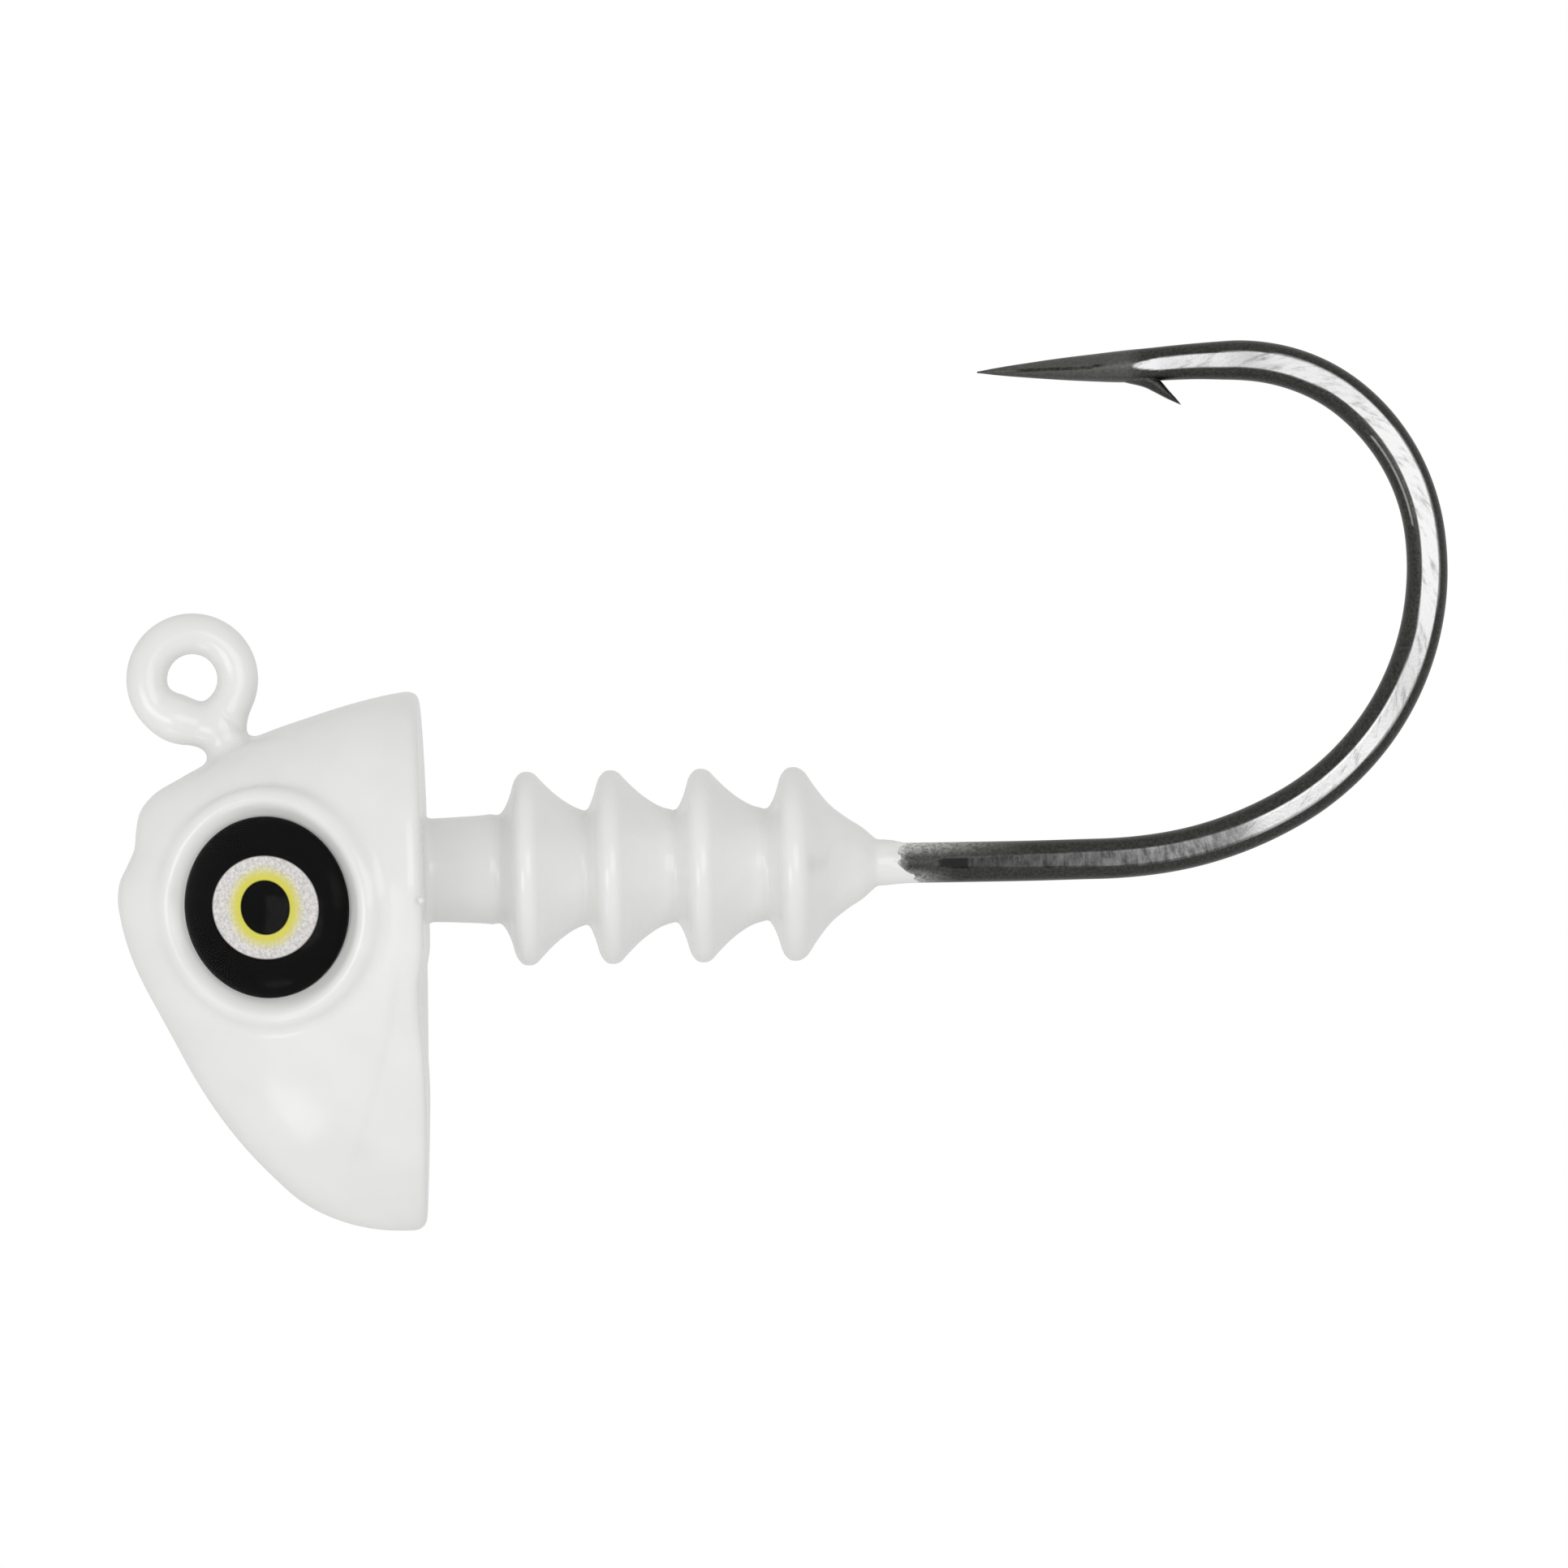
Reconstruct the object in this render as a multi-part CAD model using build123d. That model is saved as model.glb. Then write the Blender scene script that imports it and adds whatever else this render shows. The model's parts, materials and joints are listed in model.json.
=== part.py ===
"""Swimbait jig head: a 5/0 forged hook cast into a painted lead fish head with a ribbed bait keeper.

Frame: millimetres, +Z up, nose towards -X, hook bend towards +X, the fish's left side towards -Y.
The origin is the centre of the line eye, whose axis is +Y.
"""
from build123d import *
from math import atan2, cos, radians, sin, sqrt
import os

# Hook wire, in the plane y = 0
WIRE_R = 0.80             # shank and bend
EYE_WIRE_R = 0.70         # wire drawn thinner for the eye and its leg
RING_R = 1.76             # centreline radius of the line eye
RING_JOIN_R = 1.0         # small reverse bend between the leg and the ring
TAG_GAP = radians(18.0)   # angle between the leg and the cut end of the ring
LEG_ANGLE = radians(-63.7)
CORNER_R = 1.7            # bend between the leg and the shank
SHANK_Z = -7.55           # height of the shank's axis
STEP_X = 5.4              # where the wire thickens from the leg to the shank
STEP_LENGTH = 1.2
BEND_START_X = 34.95
BEND_ARCS = ((15.3, 29.0), (10.63, 67.0), (8.03, 43.7), (6.82, 42.2))   # radius, degrees of turn
DRAWN_DOWN_LENGTH = 3.1   # straight after the bend, over which the wire thins to the point's shoulder
SHOULDER_R = 0.66
POINT_LENGTH = 6.7
TIP_R = 0.05
FLAT_HALF = 0.72          # half thickness across the forged flats
FLAT_START_X = 36.6       # where the flats reach their full depth on the shank
FLAT_RUNOUT_R = 24.0
FORGING_HALF_HEIGHT = 40.0

# Barb, sliced from the underside of the point
BARB_TIP = (38.42, 9.96)
BARB_ROOT = (37.57, 10.97)
BARB_UNDERSIDE = ((36.13, 10.89), (36.96, 10.68), (37.40, 10.45), (37.86, 10.20))
BARB_ROOT_DEPTH = 0.40    # how far the barb reaches into the wire, so that the two are one piece
BARB_HALF_WIDTH = 0.40
NOTCH_MOUTH = (38.67, 10.64)
NOTCH_HALF_WIDTH = 2.0

# Painted head
COAT = 0.12               # thickness of the baked powder coat
EYE_COAT = 0.09           # the thinner coat on the line eye
CREASE_FILL_R = 0.76      # paint that pools where the cut end of the ring meets the leg
CREASE_FILL_REACH = 1.97  # from the middle of the line eye
SHANK_COAT = 0.09
BACK_X = 8.90             # flat back of the head, where the soft bait stops
BACK_EDGE_R = 0.45
NOSE = (-3.02, -8.35)
HALF_WIDTH = 6.4          # at the back
PLAN_POWER = 1.55         # how quickly the plan view rounds off to the nose
CHEEK_POWER = 1.65        # how far the lower jaw is drawn in to its keel
WIDEST_Z = -8.0
WIDEST_ABOVE_KEEL = 0.45  # least height of the widest place over the keel, as a share of the section
WIDEST_UNDER_TOP = 0.35   # and its least depth under the forehead
# x, height of the forehead and height of the keel at each station from the nose to the back
HEAD_STATIONS = (
    (-2.90, -7.75, -9.30),
    (-2.55, -6.90, -10.60),
    (-2.05, -5.55, -11.80),
    (-1.30, -4.35, -13.25),
    (-0.30, -3.65, -15.15),
    (1.00, -3.00, -17.20),
    (2.60, -2.15, -19.05),
    (4.40, -1.56, -20.60),
    (6.20, -1.04, -21.30),
    (7.70, -0.68, -21.47),
    (8.90, -0.50, -21.35),
)
POINTS_PER_QUARTER = 6

# Neck, keeper rings and tail cone, all turned about the shank's axis
NECK_R = 2.08
NECK_ROOT = 2.0           # how deep the neck starts inside the head
NECK_FLARE = 0.3          # length of the step from the neck to the first ring's foot
KEEPER_START_X = 11.80
RING_CRESTS = (12.85, 16.10, 19.60, 23.15)
RING_CREST_R = 3.76
VALLEY_R = 2.27
RING_RISE = 1.00          # from the foot of the steep face to the crest
RING_CREST_HALF = 0.42
CREST_DROP = 0.26
SLOPE_SAG = 0.13          # how hollow the long slopes are, as a share of their fall
TAIL_SAG = 0.22
TAIL_X = 26.25
TAIL_R = 0.92
SHANK_COAT_END_X = 28.1
SLEEVE_OVERLAP = 1.0      # how far the paint on the shank runs back into the tail cone

# Eyes
EYE_X = 2.95
EYE_Z = -8.83
EYE_Y = 4.02              # depth of the eye's seat from the middle plane
EYE_YAW = 24.5            # degrees towards the nose
EYE_DROP = 3.0            # degrees below level
EYE_R = 3.50
SEAT_R = 3.56
RIM_R = 4.25
RIM_HEIGHT = 0.62
RIM_FOOT_R = 5.00
RIM_FOOT_DEPTH = 0.10
RIM_ROOT_DEPTH = 1.6
RIM_ROLL = 0.42           # half width of the rim's rounded top
CUTTER_REACH = 2.5        # how far the dish's cutter stands clear of the rim
ADHESIVE_THICKNESS = 0.10
FILM_THICKNESS = 0.12
DOME_HEIGHT = 0.85


def in_plane(x, z):
    return Vector(x, 0, z)


def bend_path():
    """Shank and bend as tangent runs; returns the edges, the last point and its heading."""
    x, z, heading = BEND_START_X, SHANK_Z, 0.0
    edges = [Line(in_plane(STEP_X + STEP_LENGTH, z), in_plane(x, z))]
    for radius, turn in BEND_ARCS:
        points = []
        for share in (0.0, 0.5, 1.0):
            angle = heading + radians(turn) * share
            points.append(in_plane(x + radius * (sin(angle) - sin(heading)),
                                   z - radius * (cos(angle) - cos(heading))))
        edges.append(ThreePointArc(*points))
        x, z = points[-1].X, points[-1].Z
        heading += radians(turn)
    return edges, in_plane(x, z), heading


def swept_wire(edges, radius):
    path = Wire(edges)
    start = path.position_at(0)
    section = Plane(origin=start, z_dir=path.tangent_at(0)) * Circle(radius)
    return sweep(section, path=path)


def eye_path():
    """Ring of the line eye, its reverse bend, the leg and the corner into the shank."""
    reach = sqrt(RING_R ** 2 + 2 * RING_R * RING_JOIN_R)
    lean = atan2(RING_JOIN_R, reach)
    along = (cos(LEG_ANGLE), sin(LEG_ANGLE))
    across = (-along[1], along[0])

    def on_ring(angle):
        return in_plane(RING_R * cos(angle), RING_R * sin(angle))

    first = LEG_ANGLE + TAG_GAP
    last = LEG_ANGLE - lean + radians(360)
    ring = ThreePointArc(on_ring(first), on_ring((first + last) / 2), on_ring(last))
    join_x = along[0] * reach - across[0] * RING_JOIN_R
    join_z = along[1] * reach - across[1] * RING_JOIN_R

    def on_join(angle):
        return in_plane(join_x + RING_JOIN_R * cos(angle), join_z + RING_JOIN_R * sin(angle))

    from_ring = LEG_ANGLE - lean + radians(180)
    to_leg = LEG_ANGLE + radians(90)
    join = ThreePointArc(on_join(from_ring), on_join((from_ring + to_leg) / 2), on_join(to_leg))
    corner = SHANK_Z / along[1]
    cut = CORNER_R * sin(abs(LEG_ANGLE) / 2) / cos(abs(LEG_ANGLE) / 2)
    leg_end = in_plane(along[0] * (corner - cut), along[1] * (corner - cut))
    shank_start = in_plane(along[0] * corner + cut, SHANK_Z)
    centre = in_plane(shank_start.X, SHANK_Z + CORNER_R)
    half = LEG_ANGLE / 2
    middle = centre + Vector(sin(half), 0, -cos(half)) * CORNER_R
    leg = Line(join @ 1, leg_end)
    bend = ThreePointArc(leg_end, middle, shank_start)
    shank = Line(shank_start, in_plane(STEP_X, SHANK_Z))
    return [ring, join, leg, bend, shank]


def taper(start, end, start_r, end_r):
    axis = end - start
    solid = Solid.make_cone(start_r, end_r, axis.length, Plane(origin=start, z_dir=axis))
    return Part() + solid


def forging_flats():
    """The two slabs that the forging die takes off the sides of the bend."""
    stock = WIRE_R * 1.5
    run = sqrt(FLAT_RUNOUT_R ** 2 - (FLAT_RUNOUT_R - (stock - FLAT_HALF)) ** 2)
    far = BEND_START_X + BEND_ARCS[0][0] + DRAWN_DOWN_LENGTH
    outline = Polyline((FLAT_START_X - run, stock), (far, stock), (far, FLAT_HALF), (FLAT_START_X, FLAT_HALF))
    runout = RadiusArc((FLAT_START_X, FLAT_HALF), (FLAT_START_X - run, stock), FLAT_RUNOUT_R)
    slab = extrude(make_face(Wire([*outline.edges(), runout])), amount=FORGING_HALF_HEIGHT, both=True)
    return slab + mirror(slab, Plane.XZ)


def barb_and_notch():
    """The barb, and the gap that the chisel leaves between it and the wire."""
    tip, root = in_plane(*BARB_TIP), in_plane(*BARB_ROOT)
    underside = [in_plane(*point) for point in BARB_UNDERSIDE]
    inside = underside[0] + Vector(0, 0, BARB_ROOT_DEPTH)
    outer = Spline(*underside, tip)
    blade = make_face(Wire([outer, Line(tip, root), *Polyline(root, inside, underside[0]).edges()]))
    notch = make_face(Polyline(root, in_plane(*NOTCH_MOUTH), tip, root))
    return (extrude(blade, amount=BARB_HALF_WIDTH, both=True),
            extrude(notch, amount=NOTCH_HALF_WIDTH, both=True))


def hook():
    edges, bend_end, heading = bend_path()
    direction = Vector(cos(heading), 0, sin(heading))
    shoulder = bend_end + direction * DRAWN_DOWN_LENGTH
    bend = swept_wire(edges, WIRE_R) + taper(bend_end, shoulder, WIRE_R, SHOULDER_R)
    spear = taper(shoulder, shoulder + direction * POINT_LENGTH, SHOULDER_R, TIP_R)
    bend = (bend + spear) - forging_flats()
    blade, notch = barb_and_notch()
    bend = (bend - notch) + blade
    step = taper(in_plane(STEP_X, SHANK_Z), in_plane(STEP_X + STEP_LENGTH, SHANK_Z), EYE_WIRE_R, WIRE_R)
    return swept_wire(eye_path(), EYE_WIRE_R) + step + bend


def head_section(x, top, bottom, inset):
    """Closed outline of the head across X: a domed forehead and a jaw drawn in to a keel."""
    share = (BACK_X - x) / (BACK_X - NOSE[0])
    half_width = HALF_WIDTH * (1 - share ** PLAN_POWER) ** (1 / PLAN_POWER) - inset
    height = top - bottom
    widest = min(max(WIDEST_Z, bottom + WIDEST_ABOVE_KEEL * height), top - WIDEST_UNDER_TOP * height)
    rise = top - inset - widest
    fall = widest - bottom - inset
    quarter = [radians(90) * i / POINTS_PER_QUARTER for i in range(POINTS_PER_QUARTER + 1)]
    right = [(half_width * cos(a), widest + rise * sin(a)) for a in quarter]
    jaw = 2 / CHEEK_POWER
    lower = [(half_width * cos(a) ** jaw, widest - fall * sin(a) ** jaw) for a in quarter[1:-1]]
    side = list(reversed(lower)) + right
    points = [(0, widest - fall)] + side + [(-y, z) for y, z in reversed(side[:-1])]
    return Edge.make_spline([Vector(x, y, z) for y, z in points], periodic=True)


def head_blank(inset):
    sections = []
    for x, top, bottom in HEAD_STATIONS:
        place = x
        if x == HEAD_STATIONS[0][0]:
            place = x + inset
        if x == BACK_X:
            place = x - inset
        sections.append(Wire([head_section(place, top, bottom, inset)]))
    nose = Vertex(NOSE[0] + inset, 0, NOSE[1])
    blank = Part() + Solid.make_loft([nose, *sections])
    back = blank.faces().sort_by(Axis.X)[-1]
    return fillet(back.edges(), BACK_EDGE_R - inset)


def keeper(grow):
    """Neck, four barbed rings and the tail cone; steep faces look forwards, long slopes look aft."""
    valley, crest = VALLEY_R + grow, RING_CREST_R + grow
    half = RING_CREST_HALF + grow
    neck_start = BACK_X - NECK_ROOT
    foot = (KEEPER_START_X, valley)
    edges = [Line((neck_start, 0), (neck_start, NECK_R + grow))]
    edges += Polyline((neck_start, NECK_R + grow), (KEEPER_START_X - NECK_FLARE, NECK_R + grow), foot).edges()
    for number, x in enumerate(RING_CRESTS):
        front = (x - half, crest - CREST_DROP)
        back = (x + half, crest - CREST_DROP)
        last = number == len(RING_CRESTS) - 1
        end = (TAIL_X, TAIL_R + grow) if last else (RING_CRESTS[number + 1] - RING_RISE - grow, valley)
        edges.append(Line(foot, front))
        edges.append(ThreePointArc(front, (x, crest), back))
        hollow = 0.5 + (TAIL_SAG if last else SLOPE_SAG)
        middle = ((back[0] + end[0]) / 2, back[1] + (end[1] - back[1]) * hollow)
        edges.append(ThreePointArc(back, middle, end))
        foot = end
    edges += Polyline(foot, (TAIL_X, 0), (neck_start, 0)).edges()
    shank_axis = Plane(origin=(0, 0, SHANK_Z), x_dir=(1, 0, 0), z_dir=(0, -1, 0))
    outline = shank_axis * make_face(Wire(edges))
    return revolve(outline, axis=Axis((0, 0, SHANK_Z), (1, 0, 0)))


def eye_plane(side):
    """Plane of an eye's seat; side is -1 for the fish's left eye and +1 for its right."""
    yaw, drop = radians(EYE_YAW), radians(EYE_DROP)
    normal = (-sin(yaw) * cos(drop), side * cos(yaw) * cos(drop), -sin(drop))
    return Plane(origin=(EYE_X, side * EYE_Y, EYE_Z), z_dir=normal)


def rim_and_seat(side, grow):
    """The raised rim round an eye, and the shallow dish that is sunk inside it."""
    seat = eye_plane(side)
    crest = RIM_HEIGHT + grow
    foot = (RIM_FOOT_R + grow, grow - RIM_FOOT_DEPTH)
    rim_profile = Wire([
        *Polyline((0, -RIM_ROOT_DEPTH), (foot[0], -RIM_ROOT_DEPTH), foot).edges(),
        ThreePointArc(foot, (RIM_R + RIM_ROLL + grow, crest * 0.62), (RIM_R, crest)),
        *Polyline((RIM_R, crest), (0, crest), (0, -RIM_ROOT_DEPTH)).edges(),
    ])
    lip = (RIM_R - RIM_ROLL / 10, crest)
    clear = crest + CUTTER_REACH
    dish_profile = Wire([
        *Polyline((0, grow), (SEAT_R - grow, grow)).edges(),
        ThreePointArc((SEAT_R - grow, grow), (RIM_R - RIM_ROLL, crest * 0.42), lip),
        *Polyline(lip, (RIM_R, clear), (0, clear), (0, grow)).edges(),
    ])
    upright = Plane(origin=seat.origin, x_dir=seat.x_dir, z_dir=-seat.y_dir)
    axis = Axis(seat.origin, seat.z_dir)
    return [revolve(upright * make_face(profile), axis=axis) for profile in (rim_profile, dish_profile)]


def painted_head(grow):
    """The head, neck and keeper; grow is 0 for the painted surface and -COAT for the bare lead."""
    body = head_blank(-grow) + keeper(grow)
    for side in (-1, 1):
        rim, dish = rim_and_seat(side, grow)
        body = (body + rim) - dish
    return body


def paint_on_wire():
    """Paint that runs up over the line eye and along the start of the shank."""
    eye = swept_wire(eye_path()[:3], EYE_WIRE_R + EYE_COAT)
    crease = LEG_ANGLE + TAG_GAP * 0.7
    pool = in_plane(CREASE_FILL_REACH * cos(crease), CREASE_FILL_REACH * sin(crease))
    eye = eye + Location(pool) * Sphere(CREASE_FILL_R)
    start = Plane(origin=(TAIL_X - SLEEVE_OVERLAP, 0, SHANK_Z), z_dir=(1, 0, 0))
    length = SHANK_COAT_END_X - TAIL_X + SLEEVE_OVERLAP
    return [eye, Part() + Solid.make_cylinder(WIRE_R + SHANK_COAT, length, start)]


def eye_parts(side):
    """Adhesive pad, printed foil and clear dome, stacked on the painted seat."""
    seat = eye_plane(side)
    film_base = seat.offset(ADHESIVE_THICKNESS)
    dome_base = film_base.offset(FILM_THICKNESS)
    pad = Part() + Solid.make_cylinder(EYE_R - 0.1, ADHESIVE_THICKNESS, seat)
    film = Part() + Solid.make_cylinder(EYE_R, FILM_THICKNESS, film_base)
    sphere_r = (EYE_R ** 2 + DOME_HEIGHT ** 2) / (2 * DOME_HEIGHT)
    ball = dome_base.offset(DOME_HEIGHT - sphere_r) * Sphere(sphere_r)
    dome = ball & (Part() + Solid.make_cylinder(EYE_R, DOME_HEIGHT * 2, dome_base))
    return {"adhesive": pad, "film": film, "dome": dome}


def save(shape, name):
    export_step(shape, f"parts/{name}.step")


os.makedirs("parts", exist_ok=True)
wire = hook()
bare = painted_head(-COAT)
painted = painted_head(0.0)
save(wire, "hook")
save(bare - wire, "head_casting")
eye_paint, shank_paint = paint_on_wire()
save((painted + eye_paint + shank_paint) - bare - wire, "powder_coat")
for side, word in ((-1, "left"), (1, "right")):
    for kind, piece in eye_parts(side).items():
        save(piece, f"eye_{kind}_{word}")
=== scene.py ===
import json
from math import atan2, cos, pi, radians, sin, sqrt

import bmesh
import bpy
import numpy as np
from mathutils import Matrix, Vector


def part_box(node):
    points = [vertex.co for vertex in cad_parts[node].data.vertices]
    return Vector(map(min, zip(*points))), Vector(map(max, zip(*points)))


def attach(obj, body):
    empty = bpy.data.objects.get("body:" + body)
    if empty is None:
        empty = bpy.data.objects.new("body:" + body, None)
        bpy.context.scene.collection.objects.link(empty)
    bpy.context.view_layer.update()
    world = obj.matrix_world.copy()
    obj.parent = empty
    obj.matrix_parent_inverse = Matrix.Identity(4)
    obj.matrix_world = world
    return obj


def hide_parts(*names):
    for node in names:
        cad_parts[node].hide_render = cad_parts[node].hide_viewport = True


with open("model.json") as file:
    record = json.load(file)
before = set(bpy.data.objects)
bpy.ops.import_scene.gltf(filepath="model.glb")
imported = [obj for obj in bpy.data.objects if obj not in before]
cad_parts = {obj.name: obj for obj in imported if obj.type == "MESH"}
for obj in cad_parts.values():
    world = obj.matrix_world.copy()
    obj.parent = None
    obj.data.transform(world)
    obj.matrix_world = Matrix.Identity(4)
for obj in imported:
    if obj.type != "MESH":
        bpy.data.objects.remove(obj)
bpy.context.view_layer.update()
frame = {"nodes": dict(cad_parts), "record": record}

# ---------------------------------------------------------------------------------------------
# Hook. One length of high-carbon steel wire, drawn thinner at the eye end, bent cold into a line
# eye, shank and bend, forged flat on both sides of the bend, ground to a needle point with a barb
# sliced up from its underside, and plated in black nickel. The lead is cast round its leg.

MM = 0.001
# x, y and z of each mount in millimetres: the line eye's centre is the origin
mounts = {mount["name"]: [c / MM for c in mount["pos_m"]] for mount in frame["record"]["mounts"]}
EYE_X, _, EYE_Z = mounts["line_eye"]
SHANK_Z = mounts["bait_keeper"][2]
# the ring of the line eye, its join to the leg, the gap its cut end leaves, and the leg's corner
RING_R = 1.76
RING_JOIN_R = 1.0
TAG_GAP = radians(18)
LEG_ANGLE = radians(-63.7)
CORNER_R = 1.7
# wire radius at the eye and along the shank, and where the drawing-down ends, along the wire
EYE_WIRE_R = 0.70
WIRE_R = 0.80
DRAWN_TO = 17.5
DRAWN_FADE = 1.2
# the bend tightens towards the point: radius and turn in degrees of each arc
BEND_START_X = 34.95
BEND_ARCS = ((15.3, 29.0), (10.63, 67.0), (8.03, 43.7), (6.82, 42.2))
STRAIGHT_TO_TIP = 9.8
WIRE_STEP = 0.12


def through(points):
    """A smooth curve through (position, value) pairs, as a function of position."""
    at, value = np.array(points, float).T
    slope = np.gradient(value, at)

    def curve(where):
        where = np.clip(where, at[0], at[-1])
        left = np.clip(np.searchsorted(at, where) - 1, 0, len(at) - 2)
        width = at[left + 1] - at[left]
        share = (where - at[left]) / width
        climb = value[left + 1] - value[left]
        bulge = (1 - share) * (slope[left] * width - climb) + share * (climb - slope[left + 1] * width)
        return value[left] + share * climb + share * (1 - share) * bulge

    return curve


def bent_wire(start, heading, runs, step):
    """Points, headings and distances along a wire; each run is (length, turn)."""
    x, z, along = [start[0]], [start[1]], [0.0]
    headings = [heading]
    for length, turn in runs:
        count = max(2, round(length / step))
        share = np.arange(1, count + 1) / count
        angle = headings[-1] + turn * share
        if turn:
            radius = length / turn
            new_x = x[-1] + radius * (np.sin(angle) - sin(headings[-1]))
            new_z = z[-1] - radius * (np.cos(angle) - cos(headings[-1]))
        else:
            new_x = x[-1] + length * share * cos(headings[-1])
            new_z = z[-1] + length * share * sin(headings[-1])
        x += list(new_x)
        z += list(new_z)
        headings += list(angle)
        along += list(along[-1] + length * share)
    return np.array(x), np.array(z), np.array(headings), np.array(along)


def hook_line():
    """Centre line of the whole hook, from the cut end of the ring to the point."""
    reach = sqrt(RING_R ** 2 + 2 * RING_R * RING_JOIN_R)
    lean = atan2(RING_JOIN_R, reach)
    corner = SHANK_Z / sin(LEG_ANGLE)
    cut = CORNER_R * sin(-LEG_ANGLE / 2) / cos(LEG_ANGLE / 2)
    ring_start = LEG_ANGLE + TAG_GAP
    ring_turn = 2 * pi - TAG_GAP - lean
    shank_start = cos(LEG_ANGLE) * corner + cut
    runs = [
        (RING_R * ring_turn, ring_turn),
        (RING_JOIN_R * (pi / 2 - lean), lean - pi / 2),
        (corner - cut - reach, 0),
        (CORNER_R * -LEG_ANGLE, -LEG_ANGLE),
        (BEND_START_X - shank_start, 0),
    ]
    runs += [(radius * radians(turn), radians(turn)) for radius, turn in BEND_ARCS]
    runs.append((STRAIGHT_TO_TIP, 0))
    start = (EYE_X + RING_R * cos(ring_start), EYE_Z + RING_R * sin(ring_start))
    return bent_wire(start, ring_start + pi / 2, runs, WIRE_STEP)


wire_x, wire_z, wire_heading, wire_along = hook_line()
# each table runs back from the tip: the wire's radius, how far it strays to the inside of the bend,
# half the thickness across its forged flats, and the tilt of those flats in degrees
POINT_RADII = ((0, 0.03), (0.25, 0.065), (0.5, 0.105), (1.0, 0.175), (2.0, 0.292), (3.0, 0.40),
               (4.6, 0.54), (5.6, 0.615), (6.9, 0.65), (8.5, 0.70), (10.0, 0.768), (11.5, 0.79),
               (16.0, 0.80), (19.5, 0.78), (24.0, 0.803), (34.0, 0.79), (45.0, 0.78), (90.0, 0.78))
STRAY = ((0, 0.01), (3.0, 0.045), (5.5, 0.07), (8.5, 0.01), (10.5, 0.05), (15, 0.02), (22, 0.0),
         (29, -0.05), (37, -0.05), (40, 0.0), (44, -0.035), (50, -0.03), (60, 0.0), (90, 0.0))
FLAT_HALF = ((0, 1.0), (5.6, 0.72), (6.1, 0.625), (7.0, 0.60), (8.5, 0.645), (10, 0.70), (16, 0.722),
             (19, 0.695), (22, 0.708), (25, 0.73), (34, 0.727), (40, 0.715), (44, 0.735), (47, 0.752),
             (48.5, 0.80), (90, 0.9))
FLAT_TILT = ((0, -3), (7, -2.5), (8.5, 0), (10, 1.6), (12, 5), (17, 9.5), (25, 9.5), (31, 5), (42, 1),
             (90, 1))
# a faint second facet along the inner edge of the bend, cut only about a micron deep; it takes the
# flats' painted reflection, so it shows as a painted highlight line
FACET_DEPTH = ((15.0, -0.05), (16.5, 0.0014), (20.5, 0.0014), (22.0, -0.05))
FACET_TILT = -36
# how deep a cut is before it counts as fully flat
FLAT_EDGE = 0.008
FACET_EDGE = 0.0008
# the ground point is slightly diamond-shaped in section, and rounds off over this length
POINT_POWER = 1.42
ROUND_POWER = 2.0
POINT_GROUND = (0.2, 5.8)


def hook_rings(around):
    """Cross-sections of the hook, with how flat each point is and where it lies on the wire."""
    from_tip = wire_along[-1] - wire_along
    full = np.clip((wire_along - DRAWN_TO) / DRAWN_FADE, 0, 1)
    radius = np.minimum(through(POINT_RADII)(from_tip), EYE_WIRE_R + (WIRE_R - EYE_WIRE_R) * full)
    rounded = np.clip((from_tip - POINT_GROUND[0]) / (POINT_GROUND[1] - POINT_GROUND[0]), 0, 1)
    power = POINT_POWER + (ROUND_POWER - POINT_POWER) * rounded ** 2
    angle = np.arange(around) * 2 * pi / around
    cosine, sine = np.cos(angle), np.sin(angle)
    inward = radius[:, None] * np.sign(cosine) * np.abs(cosine) ** (2 / power[:, None])
    across = radius[:, None] * np.sign(sine) * np.abs(sine) ** (2 / power[:, None])
    flatness = np.zeros_like(inward)
    flat_half, flat_tilt, facet_depth = (np.interp(from_tip, *np.array(table).T)[:, None]
                                         for table in (FLAT_HALF, FLAT_TILT, FACET_DEPTH))
    facet_half = radius[:, None] - facet_depth
    for tilt, half, edge in ((flat_tilt, flat_half, FLAT_EDGE), (FACET_TILT, facet_half, FACET_EDGE)):
        for side in (-1, 1):
            lean = np.radians(tilt)
            proud = inward * -np.sin(lean) + across * side * np.cos(lean) - half
            cut = np.maximum(proud, 0)
            flatness = np.maximum(flatness, np.clip(proud / edge, 0, 1))
            inward = inward + cut * np.sin(lean)
            across = across - cut * side * np.cos(lean)
    reach = inward + through(STRAY)(from_tip)[:, None]
    lift_x, lift_z = -np.sin(wire_heading), np.cos(wire_heading)
    points = np.stack([wire_x[:, None] + reach * lift_x[:, None], across,
                       wire_z[:, None] + reach * lift_z[:, None]], axis=2)
    along = np.repeat(from_tip[:, None], around, axis=1)
    return points, {"flatness": flatness, "from_tip": along, "inward": inward}


def mesh_piece(name, points, faces, values=None):
    """A smooth shaded mesh object facing outwards, from points in millimetres; values go on its points."""
    mesh = bpy.data.meshes.new(name)
    mesh.from_pydata((np.asarray(points).reshape(-1, 3) * MM).tolist(), [], faces)
    edit = bmesh.new()
    edit.from_mesh(mesh)
    if edit.calc_volume(signed=True) < 0:
        bmesh.ops.reverse_faces(edit, faces=edit.faces)
    edit.to_mesh(mesh)
    edit.free()
    mesh.update()
    mesh.shade_smooth()
    for key, numbers in (values or {}).items():
        layer = mesh.attributes.new(key, "FLOAT", "POINT")
        layer.data.foreach_set("value", np.asarray(numbers, float).ravel())
    piece = bpy.data.objects.new(name, mesh)
    bpy.context.collection.objects.link(piece)
    return piece


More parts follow.
